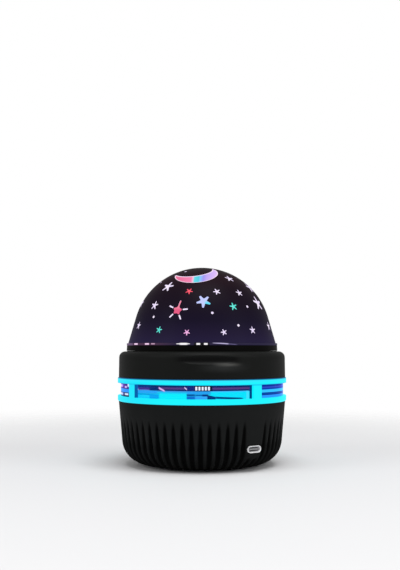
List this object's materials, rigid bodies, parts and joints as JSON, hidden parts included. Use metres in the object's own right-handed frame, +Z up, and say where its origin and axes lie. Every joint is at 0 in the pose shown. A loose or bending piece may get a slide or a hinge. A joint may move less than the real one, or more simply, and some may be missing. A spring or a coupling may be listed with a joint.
{
  "type": "star projector night light",
  "caption": "Round table projector with a fluted bowl base, a glowing ladder ring, an upper housing with a thumb scoop and a motor-turned dark dome pierced with stars.",
  "frame": {"origin": "bottom centre of the bounding box, on the table under the vertical axis", "axes": "+Z up along the dome's axis, +Y towards the charging port, -Y towards the three buttons"},
  "size_m": [0.1, 0.1, 0.1166],
  "materials": {
    "foot_rubber": "matte",
    "dark_shell": "satin",
    "cell_wrap": "satin foil",
    "bright_rim": "satin",
    "steel": "brushed",
    "tongue_plastic": "matte",
    "circuit_board": "satin",
    "black_parts": "matte",
    "frame_plastic": "matte",
    "ladder_glow": "glowing satin",
    "smoked_clear": "clear gloss",
    "strip_film": "satin",
    "chip_glow": "glowing",
    "button_plastic": "satin",
    "gear_plastic": "satin",
    "pillar_metal": "satin",
    "bush_brass": "turned",
    "collar_gloss": "gloss",
    "clear_plastic": "clear gloss",
    "board_white": "satin",
    "lamp_glow": "glowing",
    "mask_gloss": "satin gloss",
    "window_white": "lit film",
    "window_teal": "lit film",
    "window_red": "lit film",
    "window_lilac": "lit film",
    "window_blue": "lit film",
    "window_pink": "lit film",
    "window_moon": "lit film"
  },
  "bodies": {
    "base": {"foot_pads": "foot_rubber", "base_plate": "dark_shell", "battery_cell": "cell_wrap", "lower_shell": "dark_shell", "port_rim": "bright_rim", "usb_shell": "steel", "usb_tongue": "tongue_plastic", "main_board": "circuit_board", "board_parts": "black_parts", "mid_frame": "frame_plastic", "base_screws": "steel", "light_ring": "ladder_glow", "window_band": "smoked_clear", "glow_strips": "strip_film", "glow_chips": "chip_glow", "upper_shell": "dark_shell", "case_screws": "steel", "button_board": "circuit_board", "button_switches": "black_parts", "gear_motor": "steel", "gearbox": "black_parts", "motor_screws": "steel", "lamp_pillar": "pillar_metal", "pillar_screws": "steel", "thrust_washer": "gear_plastic", "retaining_clip": "steel", "heat_sink": "pillar_metal", "star_led_board": "board_white", "star_leds": "lamp_glow", "lamp_screws": "steel"},
    "turntable": {"turntable": "frame_plastic", "turntable_bush": "bush_brass", "ring_gear": "gear_plastic", "collar_screws": "steel", "dome_collar": "collar_gloss", "clear_dome": "clear_plastic"},
    "star_cap": {"dome_shell": "mask_gloss", "star_windows_white": "window_white", "star_windows_teal": "window_teal", "star_windows_red": "window_red", "star_windows_lilac": "window_lilac", "star_windows_blue": "window_blue", "sun_window": "window_pink", "moon_window": "window_moon"},
    "pinion": {"motor_shaft": "steel", "drive_pinion": "gear_plastic"},
    "button_left": {"button_left": "button_plastic"},
    "button_middle": {"button_middle": "button_plastic"},
    "button_right": {"button_right": "button_plastic"}
  },
  "joints": [
    {"name": "turntable_spin", "type": "hinge", "parent": "base", "child": "turntable", "pos_m": [0, 0, 0.0629], "axis": [0, 0, 1], "continuous": true},
    {"name": "pinion_spin", "type": "hinge", "parent": "base", "child": "pinion", "pos_m": [0.027, 0, 0.0599], "axis": [0, 0, 1], "continuous": true},
    {"name": "cap_lift", "type": "slide", "parent": "turntable", "child": "star_cap", "axis": [0, 0, 1], "range_m": [0, 0.06]},
    {"name": "button_left_press", "type": "slide", "parent": "base", "child": "button_left", "axis": [0, 1, 0], "range_m": [0, 0.0005], "stiffness_N_per_m": 2000},
    {"name": "button_middle_press", "type": "slide", "parent": "base", "child": "button_middle", "axis": [0, 1, 0], "range_m": [0, 0.0005], "stiffness_N_per_m": 2000},
    {"name": "button_right_press", "type": "slide", "parent": "base", "child": "button_right", "axis": [0, 1, 0], "range_m": [0, 0.0005], "stiffness_N_per_m": 2000}
  ],
  "couplings": [
    {"joint": "pinion_spin", "follows": "turntable_spin", "ratio": 5.5}
  ]
}
